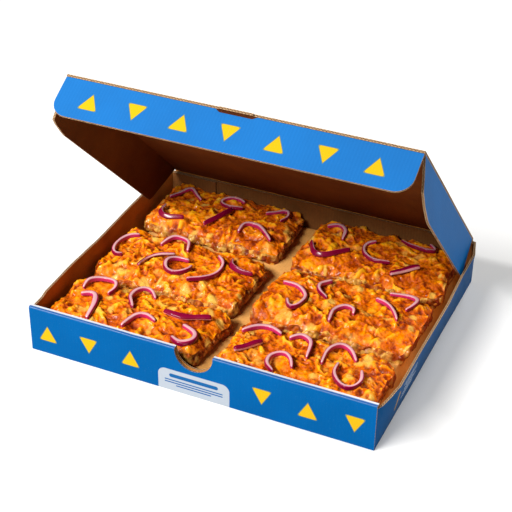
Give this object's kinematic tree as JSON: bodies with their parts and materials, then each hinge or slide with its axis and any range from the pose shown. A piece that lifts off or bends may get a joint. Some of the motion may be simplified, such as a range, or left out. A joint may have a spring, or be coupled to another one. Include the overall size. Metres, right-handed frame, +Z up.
{
  "type": "pizza in its box",
  "caption": "Rectangular slices of pizza with red onion strips in a low corrugated card box, whose hinged lid stands half open with creased flaps on its front and sides.",
  "frame": {"origin": "middle of the box's flat underside", "axes": "+X along the front wall to the right, +Y from the front wall to the lid's hinge, +Z up"},
  "size_m": [0.3445, 0.28, 0.2392],
  "materials": {
    "printed_board": "satin",
    "kraft_board": "matte",
    "baked_crust": "matte",
    "sauced_topping": "satin",
    "red_onion": "satin"
  },
  "bodies": {
    "tray": {"tray": "printed_board", "insert_board": "kraft_board", "dough_back_left": "baked_crust", "dough_back_right": "baked_crust", "dough_middle_left": "baked_crust", "dough_middle_right": "baked_crust", "dough_front_left": "baked_crust", "dough_front_right": "baked_crust", "topping_back_left": "sauced_topping", "topping_back_right": "sauced_topping", "topping_middle_left": "sauced_topping", "topping_middle_right": "sauced_topping", "topping_front_left": "sauced_topping", "topping_front_right": "sauced_topping", "onion_01": "red_onion", "onion_02": "red_onion", "onion_03": "red_onion", "onion_04": "red_onion", "onion_05": "red_onion", "onion_06": "red_onion", "onion_07": "red_onion", "onion_08": "red_onion", "onion_09": "red_onion", "onion_10": "red_onion", "onion_11": "red_onion", "onion_12": "red_onion", "onion_13": "red_onion", "onion_14": "red_onion", "onion_15": "red_onion", "onion_16": "red_onion", "onion_17": "red_onion", "onion_18": "red_onion", "onion_19": "red_onion", "onion_20": "red_onion", "onion_21": "red_onion", "onion_22": "red_onion", "onion_23": "red_onion", "onion_24": "red_onion", "onion_25": "red_onion", "onion_26": "red_onion", "onion_27": "red_onion", "onion_28": "red_onion", "onion_29": "red_onion", "onion_30": "red_onion", "onion_31": "red_onion", "onion_32": "red_onion", "onion_33": "red_onion", "onion_34": "red_onion"},
    "lid": {"lid_panel": "printed_board"},
    "front_flap": {"lid_front_flap": "printed_board"},
    "left_flap": {"lid_left_flap": "printed_board"},
    "right_flap": {"lid_right_flap": "printed_board"}
  },
  "joints": [
    {"name": "lid_hinge", "type": "hinge", "parent": "tray", "child": "lid", "pos_m": [0, 0.1395, 0.0468], "axis": [-1, 0, 0], "range_deg": [-44.1, 135.9]},
    {"name": "front_flap_crease", "type": "hinge", "parent": "lid", "child": "front_flap", "pos_m": [0, -0.05655, 0.23678], "axis": [-1, 0, 0], "range_deg": [-23.1, 71]},
    {"name": "left_flap_crease", "type": "hinge", "parent": "lid", "child": "left_flap", "pos_m": [-0.1617, 0.1395, 0.0468], "axis": [0, 0.7181, -0.6959], "range_deg": [-7.1, 21.7]},
    {"name": "right_flap_crease", "type": "hinge", "parent": "lid", "child": "right_flap", "pos_m": [0.1617, 0.1395, 0.0468], "axis": [0, -0.7181, 0.6959], "range_deg": [-7.1, 21.7]}
  ],
  "couplings": [
    {"joint": "front_flap_crease", "follows": "lid_hinge", "ratio": 0.52154},
    {"joint": "left_flap_crease", "follows": "lid_hinge", "ratio": 0.15873},
    {"joint": "right_flap_crease", "follows": "lid_hinge", "ratio": 0.15873}
  ]
}
